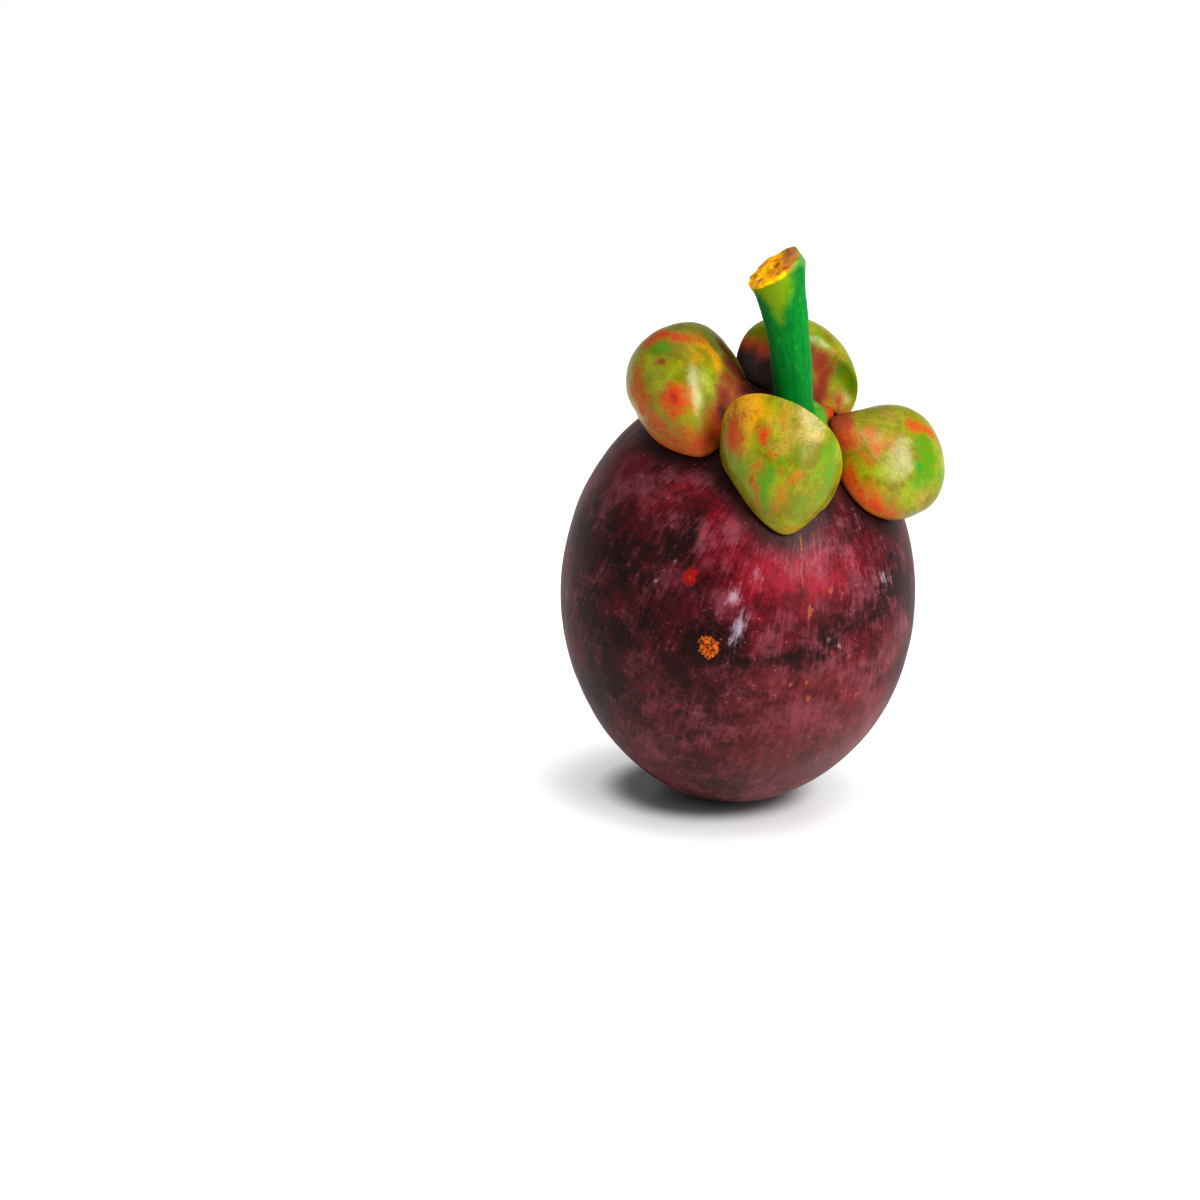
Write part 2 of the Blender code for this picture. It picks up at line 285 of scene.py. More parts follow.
def push_out(piece, relief):
    """Moves each point of a piece along its normal, by its relief in millimetres."""
    mesh = piece.data
    points = np.empty(len(mesh.vertices) * 3, np.float32)
    normals = np.empty(len(mesh.vertices) * 3, np.float32)
    mesh.vertices.foreach_get("co", points)
    mesh.vertex_normals.foreach_get("vector", normals)
    moved = points + normals * np.repeat(relief * MM, 3)
    mesh.vertices.foreach_set("co", moved.astype(np.float32))
    mesh.update()


def store(piece, name, values):
    """Keeps one number or one vector for each point, for the materials to read."""
    kind, field = ("FLOAT", "value") if values.ndim == 1 else ("FLOAT_VECTOR", "vector")
    layer = piece.data.attributes.new(name, kind, "POINT")
    layer.data.foreach_set(field, values.astype(np.float32).ravel())


def store_grain(piece, angle, radius, along):
    """Keeps what the streaks of a material are drawn by: an angle round the piece and a way along it."""
    store(piece, "grain", np.stack([np.cos(angle) * radius, np.sin(angle) * radius, along], -1))


def loft(rows, first, last):
    """Points and faces of a closed surface through rings of points, from one pole to the other."""
    count, sides = rows.shape[:2]
    points = np.concatenate([first[None], rows.reshape(-1, 3), last[None]])
    ring = 1 + np.arange(count * sides).reshape(count, sides)
    after = np.roll(ring, -1, axis=1)
    quads = np.stack([ring[:-1], ring[1:], after[1:], after[:-1]], -1).reshape(-1, 4)
    top = [[0, a, b] for a, b in zip(ring[0], after[0])]
    bottom = [[len(points) - 1, b, a] for a, b in zip(ring[-1], after[-1])]
    return points, top + quads.tolist() + bottom


def with_poles(values, first=0.0, last=0.0):
    """Values of the rings' points, with those of the two poles before and after."""
    flat = values.reshape(-1, *values.shape[2:])
    return np.concatenate([np.array([first]), flat, np.array([last])])


# ---- rind

# Marks on the rind, in degrees and millimetres: heading to the right, height over the floor, width, height,
# strength and, where it leans, the tilt
SWELLS = [(38, 26, 22, 26, 0.55), (-20, 3, 22, 10, 0.4)]
DIPS = [(30, 9, 24, 12, 0.45)]
SCARS = [(-12.6, 35.1, 3.2, 4, 1, 15)]
RED_SPOTS = [(-19.3, 45.4, 2.6, 3.2, 1, -25), (-27.3, 57.5, 1.3, 1, 0.9)]
SCUFFS = [
    (-3.9, 38.2, 2, 5.4, 1.2, -15), (-5.1, 43, 3.4, 5, 0.55), (2, 46, 3, 3, 0.5), (24.1, 35.7, 0.8, 1.8, 1),
    (27, 34.4, 1.6, 1, 0.8), (48.9, 42.6, 4, 4, 0.6), (-24.8, 47.5, 0.8, 0.8, 0.8),
    (-30.8, 44.2, 0.8, 0.8, 0.8),
]
# Crimson patches are the rind's redder colour; the first, where the key light falls, is also painted light
CRIMSON_AND_LIGHT = [
    (14, 48, 30, 20, 1.1), (2, 52, 18, 16, 1), (-26, 57, 16, 13, 1), (-43, 54, 16, 14, 0.9),
    (36, 33, 20, 10, 0.5), (48, 46, 8, 8, 0.5), (-9, 23, 22, 12, 0.5),
]
SHADES = [
    (64, 44, 14, 30, 0.8), (51, 39, 12, 11, 0.8), (39, 51, 10, 12, 0.8), (-52, 24, 24, 24, 0.7),
    (-36, 40, 30, 34, 0.8), (-15, 42, 9, 20, 0.9, 14), (-13, 37, 18, 12, 0.8), (30, 38, 14, 8, 0.6),
    (3, 33, 26, 3, 0.7, 2), (30, 33, 20, 3, 0.5, -2), (-58, 22, 16, 26, 0.8), (-10, 45, 9, 9, 0.7),
]
TANS = [
    (16.6, 50, 0.5, 5, 0.9), (16, 45, 0.5, 5, 0.9), (18.1, 40.2, 1.2, 2.2, 1), (25.2, 43, 1.2, 1.2, 0.9),
    (12.4, 29, 1, 1.2, 1), (17.6, 29.1, 0.9, 1.4, 1), (18.8, 26.4, 1, 1.6, 1),
    (-29.7, 46.4, 1.6, 0.5, 0.8, -20),
]

# A soft ridge below the front sepal, only painted: painted light in crimson to its right and painted shade
# to its left, in the same units
RIDGE_HEADING = -17.5
RIDGE_LEAN = 0.4
RIDGE_SOFTNESS = 0.8
RIDGE_HEIGHT = 52.0
RIDGE_SIZE = (17, 17)
RIDGE_LIGHT = 1.1
RIDGE_SHADE = 0.9

# The rind gets painted shadow along the sepals, and a painted reflection of the white floor low down,
# strongest lowest down towards the light: (from, to)
SEPAL_SHADOW_REACH = 0.0032
LOW_HEIGHTS = (0.0355, 0.0295)
FLOOR_REFLECTION_HEIGHTS = (0.026, 0.012)
LIT_PLACES = (-0.0048, 0.0112)


def cube_sphere(cells):
    """Directions and quads of a cube that is blown up to a sphere, with nearly even cells."""
    across = np.tan(np.linspace(-pi / 4, pi / 4, cells + 1))
    u, v = np.meshgrid(across, across, indexing="ij")
    one = np.ones_like(u)
    sides = [(one, u, v), (-one, v, u), (v, one, u), (u, -one, v), (u, v, one), (v, u, -one)]
    points = np.concatenate([np.stack(side, -1).reshape(-1, 3) for side in sides])
    grid = np.arange(u.size).reshape(u.shape)
    quads = np.stack([grid[:-1, :-1], grid[1:, :-1], grid[1:, 1:], grid[:-1, 1:]], -1).reshape(-1, 4)
    faces = np.concatenate([quads + k * u.size for k in range(len(sides))])
    _, first, welded = np.unique(np.round(points, 7), axis=0, return_index=True, return_inverse=True)
    return unit(points[first]), welded.reshape(-1)[faces]


def on_rind(heading_deg, height_mm):
    """Point of the rind at a heading from the front, to the right, and a height over the floor."""
    height = height_mm * MM
    out = RADIUS * sqrt(1.0 - ((height - MIDDLE[2]) / (RADIUS * TALLNESS)) ** 2)
    heading = radians(heading_deg)
    return np.array((out * sin(heading), -out * cos(heading), height))


def patch(points, heading_deg, height_mm, width_mm, tall_mm, tilt_deg=0.0):
    """Soft oval mark on the rind: 1 in its middle, falling to 0.37 at half its width or height."""
    centre = on_rind(heading_deg, height_mm)
    outward = (centre - MIDDLE) / DRAWN_OUT**2
    outward /= np.linalg.norm(outward)
    right = unit(np.cross((0.0, 0.0, 1.0), outward))
    up = np.cross(outward, right)
    tilt = radians(tilt_deg)
    across = right * cos(tilt) + up * sin(tilt)
    along = up * cos(tilt) - right * sin(tilt)
    offset = points - centre
    reach = (2 * offset @ across / (width_mm * MM)) ** 2 + (2 * offset @ along / (tall_mm * MM)) ** 2
    same_side = offset @ outward > -RADIUS / 2
    return np.exp(-reach) * same_side


def patches(points, marks):
    """The strongest of several marks at each point."""
    total = np.zeros(len(points))
    for heading, height, width, tall, strength, *tilt in marks:
        total = np.maximum(total, strength * patch(points, heading, height, width, tall, *tilt))
    return total


def ridge_sides(points):
    """How far points near the ridge lie to its right and to its left."""
    heading = np.degrees(np.arctan2(points[:, 0], -points[:, 1]))
    past = (heading - RIDGE_HEADING - RIDGE_LEAN * (points[:, 2] / MM - RIDGE_HEIGHT)) / RIDGE_SOFTNESS
    near = patch(points, RIDGE_HEADING, RIDGE_HEIGHT, *RIDGE_SIZE)
    return near / (1 + np.exp(-past)), near / (1 + np.exp(past))


def near_sepals(points):
    """1 along the rims of the sepals, falling to 0.37 a few millimetres away: where their shadow is
    painted.
    """
    rims = [place_sepal(sepal_rows(cup)[0][-1], cup) for cup in SEPALS.values()]
    tree = KDTree(sum(len(rim) for rim in rims))
    for i, place in enumerate(np.concatenate(rims)):
        tree.insert(place, i)
    tree.balance()
    distance = np.array([tree.find(place)[2] for place in points])
    return bell(distance, SEPAL_SHADOW_REACH)


def rind_relief(skin):
    """Relief of the rind in millimetres, with crusts on the scar and on the larger red spot."""
    relief = relief_mm(skin, RIND_RELIEF) + patches(skin, SWELLS) - patches(skin, DIPS)
    crust = patches(skin, SCARS + RED_SPOTS[:1])
    return relief + crust * (CRUST_HEIGHT_MM + relief_mm(skin, CRUST_RELIEF))


def store_marks(piece, skin):
    """Keeps how strong each kind of mark is at each point of the rind."""
    right, left = ridge_sides(skin)
    for name, marks in (("scar", SCARS), ("red_spot", RED_SPOTS), ("scuff", SCUFFS), ("tan", TANS)):
        store(piece, name, patches(skin, marks))
    # Crimson with painted light, and painted shade, beside the painted ridge
    store(piece, "crimson", np.maximum(patches(skin, CRIMSON_AND_LIGHT), RIDGE_LIGHT * right))
    store(piece, "shade", np.maximum(patches(skin, SHADES), RIDGE_SHADE * left))
    # Painted shadow of the sepals on the rind
    store(piece, "sepal_shadow", near_sepals(skin))


def make_rind():
    upright, faces = cube_sphere(RIND_CELLS)
    direction = upright @ LEAN
    polar = np.arccos(np.clip(direction[:, 2], -1.0, 1.0))
    skin = to_world(direction * rind_distance(polar)[:, None])
    points = to_world(direction * (rind_distance(polar) + rind_relief(skin) * MM)[:, None])
    points[:, 2] = np.maximum(points[:, 2], 0.0)
    piece = make_piece("rind", points, faces.tolist(), rind_paint(), "fruit", "rind")
    around = np.arctan2(direction[:, 1], direction[:, 0])
    store_grain(piece, around, RADIUS, GRAIN_ALONG * polar * RADIUS)
    store_marks(piece, skin)
    # Painted reflection of the white floor: paler low down, palest lowest down towards the light
    store(piece, "low", ramp(points[:, 2], *LOW_HEIGHTS))
    store(piece, "floor_reflection", ramp(points[:, 0], *LIT_PLACES) * ramp(points[:, 2], *FLOOR_REFLECTION_HEIGHTS))


# ---- sepals

# Soft spots of colour on each sepal: (down, around, radius in mm, strength), and the rust along its rim.
# The strongest brown spots, at the necks and in the back sepal's recess, are painted shade.
SEPAL_SPOTS = {
    "sepal_left": dict(
        rust=[
            (25, 4, 1.6, 1), (14, 0, 1.7, 1.1), (4, 66, 1.5, 1), (11, 161, 1.4, 0.8), (24, 340, 1.8, 0.9),
            (47, 39, 1.7, 0.7), (59, 43, 1.9, 0.9), (69, 51, 2.2, 0.9), (48, 90, 1.4, 0.7),
            (55, 86, 1.7, 0.9), (56, 97, 1.6, 1.2), (64, 88, 1.7, 0.9), (71, 84, 1.4, 0.6),
            (81, 66, 1.9, 0.8), (91, 73, 1.9, 0.9), (91, 84, 1.9, 1), (96, 99, 1.9, 1), (95, 116, 2.1, 1.1),
            (86, 129, 1.9, 1.2), (81, 141, 2, 1.3), (28, 190, 1.5, 0.5), (60, 300, 2.4, 0.8),
            (40, 270, 1.8, 0.7), (80, 250, 2.4, 0.9),
        ],
        green=[(20, 45, 1.5, 1.1), (15, 75, 1.4, 1.1), (45, 320, 2.5, 0.7)],
        gold=[(31, 180, 1.7, 0.9), (45, 176, 1.9, 1.1), (30, 150, 1.6, 0.5)],
        brown=[
            (29, 71, 1, 0.6), (84, 180, 3.6, 1.7), (78, 196, 2.8, 1.4), (72, 176, 2.6, 1.2),
            (62, 170, 1.9, 0.75), (70, 157, 2.1, 0.9), (80, 152, 2.4, 1.1), (60, 190, 1.8, 0.8),
            (58, 206, 2, 0.6),
        ],
        pale=[(48, 135, 2, 0.5)],
        rim=0.9,
    ),
    "sepal_front": dict(
        rust=[
            (53, 279, 0.9, 0.7), (49, 289, 1.3, 1), (56, 291, 1.4, 1.1), (46, 296, 1, 1.1),
            (38, 291, 0.8, 0.9), (46, 302, 0.9, 0.9), (55, 298, 1.3, 0.9), (26, 326, 0.9, 1.1),
            (26, 315, 0.7, 0.8), (30, 345, 0.6, 0.7), (65, 289, 1, 0.8), (55, 306, 1, 0.5),
            (46, 330, 0.8, 0.7), (55, 332, 1, 0.6), (60, 334, 1, 0.65), (67, 336, 1.1, 0.5),
            (44, 15, 1.1, 0.5), (51, 4, 1.2, 0.45), (58, 358, 1.3, 0.4), (40, 24, 0.8, 0.5),
            (38, 2, 0.7, 0.5), (77, 21, 1.2, 0.4), (5, 351, 1.2, 0.4),
        ],
        green=[
            (41, 343, 0.8, 1.6), (49, 345, 1.6, 0.9), (60, 343, 1.7, 0.9), (63, 315, 1.6, 0.6),
            (31, 6, 2, 0.6), (49, 77, 2.2, 0.8), (63, 71, 2.2, 0.8), (67, 58, 2.2, 0.6), (60, 30, 2, 0.5),
            (48, 58, 2.2, 0.5), (29, 34, 1.6, 0.5),
        ],
        gold=[
            (49, 272, 2, 1.1), (37, 272, 2, 1.1), (26, 279, 1.9, 1), (56, 279, 1.8, 1.1), (37, 281, 2, 1.1),
            (31, 296, 2, 0.9), (22, 291, 1.9, 0.8), (33, 306, 1.8, 0.7), (48, 309, 1.6, 0.6),
            (14, 304, 1.6, 0.5),
        ],
        brown=[],
        pale=[
            (14, 330, 1.9, 0.8), (12, 2, 2, 0.9), (16, 32, 2, 0.9), (20, 358, 1.9, 0.9), (22, 15, 1.8, 0.8),
            (17, 60, 2, 0.8), (28, 66, 2, 0.7), (10, 39, 1.8, 0.7), (24, 30, 1.6, 0.6),
        ],
        rim=0.1,
    ),
    "sepal_right": dict(
        rust=[
            (60, 201, 1.7, 0.6), (60, 210, 1.9, 0.65), (74, 219, 1.7, 0.5), (76, 201, 2, 0.7),
            (76, 189, 2, 1), (82, 197, 2, 1.1), (18, 182, 1.4, 0.8), (4, 171, 1.3, 0.9),
            (103, 221, 1.7, 1.1), (106, 234, 1.9, 1.1), (105, 251, 1.9, 1), (102, 272, 1.9, 1),
            (94, 283, 1.7, 0.7), (50, 60, 2.2, 0.8), (75, 90, 2.2, 0.8),
        ],
        green=[
            (20, 244, 1.6, 1), (26, 274, 1.7, 1.1), (40, 289, 1.7, 1.1), (42, 276, 1.4, 1.5),
            (54, 283, 1.7, 0.9), (50, 340, 2.5, 0.9),
        ],
        gold=[(48, 205, 1.8, 0.4)],
        brown=[(88, 180, 2.4, 0.9), (84, 200, 1.6, 0.5), (92, 165, 3, 1)],
        pale=[(42, 174, 2, 0.8), (35, 165, 2, 0.6), (70, 304, 2.4, 0.7)],
        rim=0.85,
    ),
    "sepal_back": dict(
        rust=[
            (88, 227, 1.6, 0.7), (40, 120, 2, 0.5), (50, 20, 2.5, 0.8), (60, 320, 2.4, 0.8),
            (45, 205, 1.6, 0.4),
        ],
        green=[
            (64, 103, 2.2, 0.5), (57, 99, 2.2, 0.5), (31, 184, 1.5, 0.7), (30, 212, 1.5, 0.5),
            (59, 227, 1.7, 0.7), (74, 236, 1.7, 0.8),
        ],
        gold=[(30, 140, 2, 0.4)],
        brown=[
            (53, 195, 2, 0.8), (69, 205, 2.3, 0.85), (83, 204, 2.6, 0.9), (88, 224, 1.6, 0.5),
            (60, 175, 3, 1.1), (80, 180, 3.4, 1.3), (98, 131, 3.2, 1.9), (98, 146, 3.4, 1.9),
            (88, 143, 2.6, 1.7), (90, 126, 2, 1.4), (80, 158, 2.8, 1.6), (106, 120, 3.2, 1.9),
            (110, 140, 3.4, 1.9),
        ],
        pale=[(40, 210, 1.3, 0.6), (52, 216, 1.5, 0.6)],
        rim=0.45,
    ),
}

# Spots are longer along the sepal than across it, and their outlines wave
SPOT_NARROWING = (0.78, 1.15, 1.0)
WAVE_SEEDS = (21, 22, 23)
WAVE_SIZE = 0.0026
WAVE_DEPTH = 0.0012

# How far the paler band along the rim and the rust along the rim reach up the outer skin
EDGE_REACH_DEG = 8
RIM_RUST_REACH_DEG = 17


def cup_axes(cup):
    """Axes (out, left, up) of a sepal's ellipsoid, as the columns of a matrix in the sepal's frame."""
    nod, roll = radians(cup["nod"]), radians(cup["roll"])
    return np.array(Matrix.Rotation(nod, 3, "Y") @ Matrix.Rotation(roll, 3, "X"))


def cup_middle(cup):
    return np.array((cup["reach"], cup["left"], cup["height"])) * MM


def powered(values, power):
    return np.copysign(np.abs(values) ** power, values)


def cup_local(cup, down, around, inset):
    """Points of a cup, an angle down from its top and around from its outer end, in its own axes."""
    wide, high = powered(np.sin(down), cup["squareness"]), powered(np.cos(down), cup["squareness"])
    length = np.where(np.cos(around) > 0, cup["outward"], cup["inward"]) * MM
    outwards = np.maximum(0.0, wide * np.cos(around))
    taper = ((0.5 + 0.5 * np.cos(around)) * np.minimum(1.0, down / radians(90))) ** TAPER_POWER
    hollow = bell(down - radians(HOLLOW_DOWN_DEG), radians(HOLLOW_SPREAD_DEG))
    stemwards = np.maximum(0.0, -np.cos(around)) * hollow
    scale = 1 - inset / (cup["rise"] * MM)
    x = np.maximum(length - inset, INNER_LEAST * length) * wide * np.cos(around)
    x = x + cup["top_out"] * MM * high * scale + cup["hollow"] * MM * stemwards
    y = (cup["half_width"] * MM - inset) * wide * np.sin(around) * (1 - cup["point"] * taper)
    y = y + cup["top_left"] * MM * high * scale + cup["bend"] * MM * outwards**2
    z = (cup["rise"] * MM - inset) * high
    return np.stack([x, y, z], -1)


def cup_points(cup, down, around, inset):
    return cup_middle(cup) + cup_local(cup, down, around, inset) @ cup_axes(cup).T


def over_rind(points):
    """Height of points in a sepal's frame over the rind."""
    reach = np.hypot(points[..., 0], points[..., 1])
    return points[..., 2] - (np.sqrt(np.maximum(RADIUS**2 - reach**2, 0.0)) - RADIUS)


def rim_angles(cup, around, inset):
    """Angle down from the top at which the sepal ends: its own rim, or where it meets the rind."""
    full = np.full_like(around, radians(cup["rim_angle"]))
    clear = over_rind(cup_points(cup, full, around, inset)) > GAP
    high, low = np.full_like(around, radians(RIM_SEARCH_FROM_DEG)), full.copy()
    for _ in range(RIM_SEARCH_STEPS):
        middle = (high + low) / 2
        above = over_rind(cup_points(cup, middle, around, inset)) > GAP
        high = np.where(above, middle, high)
        low = np.where(above, low, middle)
    return np.where(clear, full, high)


def with_neck(cup, points, down, around):
    """Points of the outer skin, drawn onto the receptacle where they face it."""
    spread = radians(cup["neck_spread"])
    away = np.abs(np.remainder(around, 2 * pi) - pi) / spread
    above = (down - radians(NECK_DOWN_DEG)) / (NECK_TALLNESS * spread)
    kept = cup["neck_share"]
    end_z = cup["neck_height"] * MM + kept * (points[..., 2] - NECK_LEVEL)
    end = np.stack([np.full_like(end_z, cup["neck_reach"] * MM), kept * points[..., 1], end_z], -1)
    share = np.exp(-away * away - above * above)[..., None]
    return points + (end - points) * share


def sepal_rows(cup):
    """Rings of a sepal's outer skin, rim and inner skin, and how far down the outer skin's points are."""
    outer_rows, rim_rows, inner_rows = SEPAL_ROWS
    around = np.linspace(0, 2 * pi, SEPAL_SEGMENTS, endpoint=False)
    outer_end = rim_angles(cup, around, 0.0) - radians(RIM_TURN_DEG)
    inner_end = rim_angles(cup, around, SEPAL_WALL) - radians(RIM_TURN_DEG)
    down = np.linspace(0, 1, outer_rows + 1)[1:, None] * outer_end
    outer = with_neck(cup, cup_points(cup, down, around, 0.0), down, around)
    inner_down = np.linspace(1, 0, inner_rows + 1)[:-1, None] * inner_end
    inner = cup_points(cup, inner_down, around, SEPAL_WALL)
    between = (outer[-1] + inner[0]) / 2
    half = (outer[-1] - inner[0]) / 2
    onward = unit(outer[-1] - outer[-3]) * np.linalg.norm(half, axis=-1, keepdims=True)
    turns = np.linspace(0, pi, rim_rows + 2)[1:-1, None, None]
    rim = between + half * np.cos(turns) + RIM_ROUNDNESS * onward * np.sin(turns)
    return outer, rim, inner, down


def place_sepal(points, cup):
    azimuth = np.array(Matrix.Rotation(radians(cup["azimuth"]), 3, "Z"))
    return to_world(points @ azimuth.T + (0.0, 0.0, STEM_END))


def wavy(points):
    """The points, moved about by noise, so that what is drawn round a centre gets an uneven outline."""
    return points + np.stack([bumps(points, WAVE_SIZE, seed) for seed in WAVE_SEEDS], -1) * WAVE_DEPTH


def cup_spots(cup, points, spots):
    """The strongest of several soft spots at each point."""
    total = np.zeros(points.shape[:-1])
    for down, around, radius, strength in spots:
        angles = np.radians([down]), np.radians([around])
        at = with_neck(cup, cup_points(cup, *angles, 0.0), *angles)
        distance = np.linalg.norm((points - at[0]) @ cup_axes(cup) * SPOT_NARROWING, axis=-1)
        total = np.maximum(total, strength * bell(distance, radius * MM))
    return total


def by_part(outer, rim, inner):
    """One value for each point of a sepal, from those of its outer skin, its rim and its inner skin."""
    parts = zip((outer, rim, inner), SEPAL_ROWS)
    rows = [np.broadcast_to(values, (count, SEPAL_SEGMENTS)) for values, count in parts]
    return np.concatenate(rows)


def towards_rim(down, reach_deg):
    """1 at the lower end of the outer skin, falling to 0 an angle up from it."""
    return ramp(down[-1] - down, radians(reach_deg), 0.0)


def make_sepal(name, finish):
    cup = SEPALS[name]
    outer, rim, inner, down = sepal_rows(cup)
    rows = np.concatenate([outer, rim, inner])
    top, under_top = (cup_points(cup, np.zeros(1), np.zeros(1), inset)[0] for inset in (0.0, SEPAL_WALL))
    local = with_poles(rows, top, under_top)
    poles = place_sepal(np.array([top, under_top]), cup)
    piece = make_piece(name + "_leaf", *loft(place_sepal(rows, cup), *poles), finish, name, "sepal")
    push_out(piece, relief_mm(local, SEPAL_RELIEF))
    own = (local - cup_middle(cup)) @ cup_axes(cup)
    store_grain(piece, np.arctan2(own[:, 1], own[:, 2]), SEPAL_GRAIN_RADIUS, GRAIN_ALONG * own[:, 0])
    store(piece, "inside", with_poles(by_part(0.0, 0.5, 1.0), 0.0, 1.0))
    store(piece, "edge", with_poles(by_part(towards_rim(down, EDGE_REACH_DEG), 1.0, 0.0)))
    spots = SEPAL_SPOTS[name]
    rim_rust = by_part(towards_rim(down, RIM_RUST_REACH_DEG), 1.0, 0.0) * spots["rim"]
    store(piece, "rim_rust", with_poles(rim_rust))
    waved = wavy(local)
    for colour in ("rust", "green", "gold", "brown", "pale"):
        store(piece, colour, cup_spots(cup, waved, spots[colour]))


# ---- stem

# The cut's flesh reaches over its edge on the side away from one turn. Rows count from the edge of the cut,
# and for the receptacle's disc from the foot of the shaft: (from, to).
FLESH_AWAY_DEG = 15
FLESH_BASE = 0.9
FLESH_SWING = 1.4
FLESH_ROWS = (9, -3)
SKIN_ROWS = (-4, 0)
CREST_ROWS = (14, 2)
LIP_ROWS = (10, -1)
DISC_ROWS = (-7, 3)

# Where the skin of the cut's right side and its tan crest start, in shares of its radius to the right
SKIN_RIGHT = (0.68, 0.8)
CREST_RIGHT = (0.1, 0.6)

# Colours along the shaft, by turn in degrees and height over its foot in millimetres: a sunny stripe that
# widens to the cut, a flank beside it, and a darker left side, partly its own colour and partly painted
# shade
STRIPE_TURN = 254
STRIPE_WIDTH = 22
STRIPE_WIDENING = 26
STRIPE_HEIGHTS = (12.6, 18.6)
WIDENING_HEIGHTS = (17.1, 20.1)
FLANK_TURN = 215
FLANK_WIDTH = 60
FLANK_HEIGHTS = (18.0, 20.4)
LEFT_TURN = 205
LEFT_WIDTH = 34
FOOT_HEIGHTS = (7.0, 0.0)

# The disc: where it joins the sepals, from its middle, and how it is shaded away from the light
JOINT_REACH = (0.0044, 0.0053)
SHADED_BASE = 0.5
SHADED_SWING = 1.6
SHADED_AWAY_DEG = -35


def spline(values, at):
    """Catmull-Rom value of a list of numbers at a position from 0 to 1."""
    place = at * (len(values) - 1)
    i = min(int(place), len(values) - 2)
    t = place - i
    p1, p2 = values[i], values[i + 1]
    p0 = values[i - 1] if i else 2 * p1 - p2
    p3 = values[i + 2] if i + 2 < len(values) else 2 * p2 - p1
    return p1 + 0.5 * t * (p2 - p0 + t * (2 * p0 - 5 * p1 + 4 * p2 - p3 + t * (3 * (p1 - p2) + p3 - p0)))


COLUMNS = [[station[k] * MM for station in STEM_STATIONS_MM] for k in range(4)]
STEM_FOOT = to_world(np.array((0.0, 0.0, STEM_END + RECEPTACLE_HEIGHT)))


def stem_centre(at):
    return STEM_FOOT + np.array((spline(COLUMNS[0], at), -spline(COLUMNS[1], at), spline(COLUMNS[2], at)))


def stem_ring(at, shrink, turn):
    """Ring of the stem, tipped more and more until the last one lies in the cut."""
    fruit_axis = unit(LEAN[:, 2] * DRAWN_OUT)
    along = unit(stem_centre(min(at + SLOPE_STEP, 1.0)) - stem_centre(max(at - SLOPE_STEP, 0.0)))
    along = unit(fruit_axis + (along - fruit_axis) * min(1.0, at / SHAFT_BENT))
    right = unit(np.array((1.0, 0.0, 0.0)) - along * along[0])
    back = np.cross(along, right)
    ridges = 1 + sum(deep * np.cos(n * turn + phase + twist * at) for n, deep, phase, twist in SHAFT_RIDGES)
    radius = spline(COLUMNS[3], at) * shrink * ridges
    offset = (right * np.cos(turn)[:, None] + back * np.sin(turn)[:, None]) * radius[:, None]
    tip = max(0.0, (at - TIP_START) / (1 - TIP_START)) ** 2
    past_crest = np.maximum(0.0, offset[:, 0] - CUT_CREST)
    rise = CUT_LIFT + CUT_RISE * (offset[:, 0] - past_crest) - CUT_FALL * past_crest
    offset[:, 2] += tip * (rise + CUT_RISE_BACK * offset[:, 1])
    return stem_centre(at) + offset


def receptacle_rows(turn):
    """Rings of the receptacle from the foot of the stem down and out to its underside."""
    wave = 1 + RECEPTACLE_WAVE * np.cos(4 * turn + 0.4)
    lumps = sum(size * bell(turn - at, LUMP_WIDTH) for at, size in LUMPS) * MM
    rows = []
    for radius, height in RECEPTACLE_OUTLINE:
        lump = radius**4 * lumps
        out = radius * RECEPTACLE_RADIUS * wave + LUMP_OUTWARD * lump
        up = STEM_END + height * RECEPTACLE_HEIGHT + lump * min(1.0, LUMP_ONSET * height)
        rows.append(to_world(np.stack([out * np.cos(turn), out * np.sin(turn), up], -1)))
    return rows


def store_cut(piece, turn, across):
    """Keeps where the cut's flesh, crest and lip are, and gives back the flesh."""
    row = np.arange(len(across))[:, None] - CUT_ROWS
    rightness = across[:, None] * np.cos(turn)
    fleshy = np.clip(FLESH_BASE - FLESH_SWING * np.cos(turn - radians(FLESH_AWAY_DEG)), 0, 1)
    flesh = ramp(row, *FLESH_ROWS) * (1 - ramp(row, *SKIN_ROWS) * (1 - fleshy))
    flesh = with_poles(flesh * (1 - ramp(rightness, *SKIN_RIGHT)), 1.0, 0.0)
    store(piece, "cut", flesh)
    store(piece, "crest", with_poles(ramp(rightness, *CREST_RIGHT) * ramp(row, *CREST_ROWS)))
    store(piece, "lip", with_poles(ramp(row, *LIP_ROWS) * fleshy))
    return flesh


def store_shaft(piece, degrees, height):
    """Keeps where the shaft's colours are, by turn and by height over its foot."""
    width = STRIPE_WIDTH + STRIPE_WIDENING * ramp(height, *WIDENING_HEIGHTS)
    stripe = bell(degrees - STRIPE_TURN, width) * ramp(height, *STRIPE_HEIGHTS)
    flank = bell(degrees - FLANK_TURN, FLANK_WIDTH) * ramp(height, *FLANK_HEIGHTS)
    store(piece, "sunny", np.maximum(stripe, flank))
    store(piece, "left", bell(degrees - LEFT_TURN, LEFT_WIDTH))
    store(piece, "foot", ramp(height, *FOOT_HEIGHTS))


